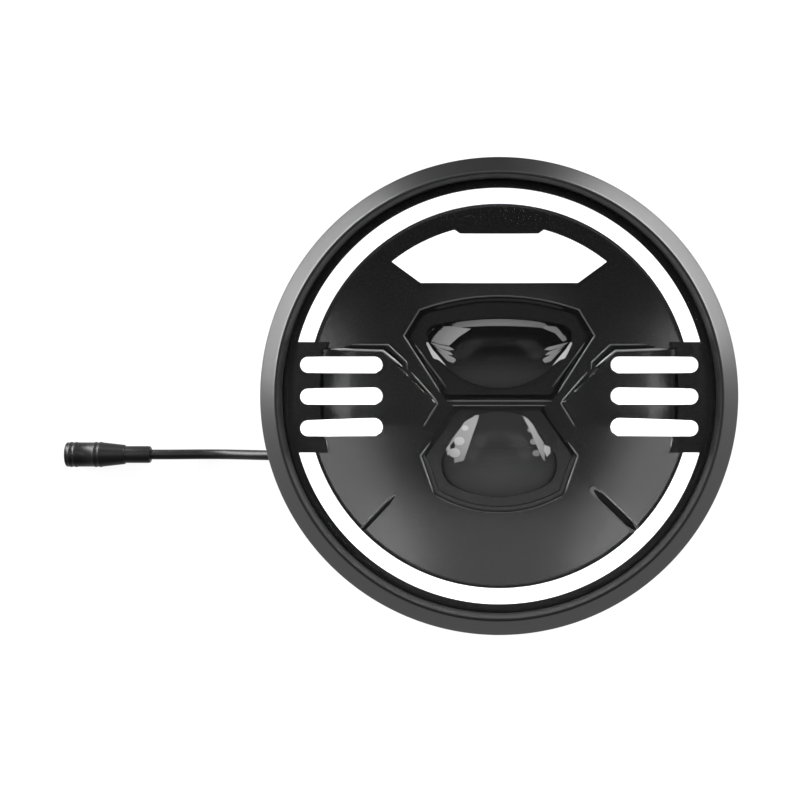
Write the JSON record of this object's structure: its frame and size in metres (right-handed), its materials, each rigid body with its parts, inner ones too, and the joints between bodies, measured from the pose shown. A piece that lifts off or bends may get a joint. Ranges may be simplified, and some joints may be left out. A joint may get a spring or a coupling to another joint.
{
  "type": "bicycle headlight",
  "caption": "Round bicycle headlight with a conical bezel, halo ring, side light bars, top window and stacked projector lenses, on a tilting bracket, with a short lead and push-in connector.",
  "frame": {"origin": "under the middle of the lamp, on the plane of the bracket's base, with the lamp facing up", "axes": "+Z out of the lamp's front along the optical axis, +Y towards the lamp's upper edge in use, +X to the right seen from the front"},
  "size_m": [0.248, 0.165, 0.0705],
  "materials": {
    "bezel_black": "satin black anodised aluminium",
    "clear_cover": "clear hard-coated polycarbonate",
    "black_rubber": "matt black rubber",
    "fascia_black": "gloss black moulding",
    "light_guide": "white opal light guide, lit",
    "projector_clear": "clear moulded lens",
    "black_plastic": "matt black plastic",
    "reflector_chrome": "vacuum-metallised",
    "bracket_steel": "black powder coat",
    "board_white": "white solder mask",
    "board_green": "green solder mask",
    "led_yellow": "phosphor",
    "pad_grey": "soft thermal pad",
    "bare_aluminium": "milled",
    "cast_black": "black powder coat on die casting",
    "ferrite_grey": "matt ferrite",
    "plug_white": "natural nylon",
    "lead_pvc": "satin black PVC jacket",
    "steel_zinc": "black zinc plate",
    "nylon_white": "natural nylon",
    "connector_tpu": "satin black overmould",
    "seal_orange": "silicone",
    "brass_contact": "gold flash"
  },
  "bodies": {
    "bracket": {"mount_bracket": "bracket_steel", "pivot_bolt": "steel_zinc", "pivot_nut": "steel_zinc", "pivot_washers": "steel_zinc", "friction_washers": "nylon_white", "lead_cord": "lead_pvc", "connector_body": "connector_tpu", "connector_seal": "seal_orange", "connector_insert": "black_plastic", "connector_contacts": "brass_contact"},
    "lamp": {"bezel_ring": "bezel_black", "front_lens": "clear_cover", "lens_seal": "black_rubber", "fascia": "fascia_black", "halo_guide_upper": "light_guide", "halo_guide_lower": "light_guide", "side_bars_left": "light_guide", "side_bars_right": "light_guide", "top_window": "light_guide", "upper_projector_lens": "projector_clear", "lower_projector_lens": "projector_clear", "upper_lens_holder": "black_plastic", "lower_lens_holder": "black_plastic", "upper_reflector": "reflector_chrome", "lower_reflector": "reflector_chrome", "cutoff_shield": "bracket_steel", "low_beam_board": "board_white", "low_beam_leds": "led_yellow", "high_beam_board": "board_white", "high_beam_leds": "led_yellow", "halo_board": "board_white", "halo_leds": "led_yellow", "side_board_left": "board_white", "side_board_right": "board_white", "side_leds": "led_yellow", "window_board": "board_white", "window_leds": "led_yellow", "thermal_pad": "pad_grey", "heat_spreader": "bare_aluminium", "rear_housing": "cast_black", "breather_vent": "black_plastic", "driver_board": "board_green", "board_inductor": "ferrite_grey", "board_capacitors": "bare_aluminium", "board_chip": "black_plastic", "board_plug": "plug_white", "inner_lead": "lead_pvc", "cable_gland": "black_plastic", "strain_relief": "black_rubber", "rim_screws": "steel_zinc", "spreader_screws": "steel_zinc", "board_screws": "steel_zinc", "pivot_bush": "nylon_white"}
  },
  "joints": [
    {"name": "lamp_tilt", "type": "hinge", "parent": "bracket", "child": "lamp", "pos_m": [0, 0, 0.015], "axis": [1, 0, 0], "range_deg": [-15, 15]}
  ]
}
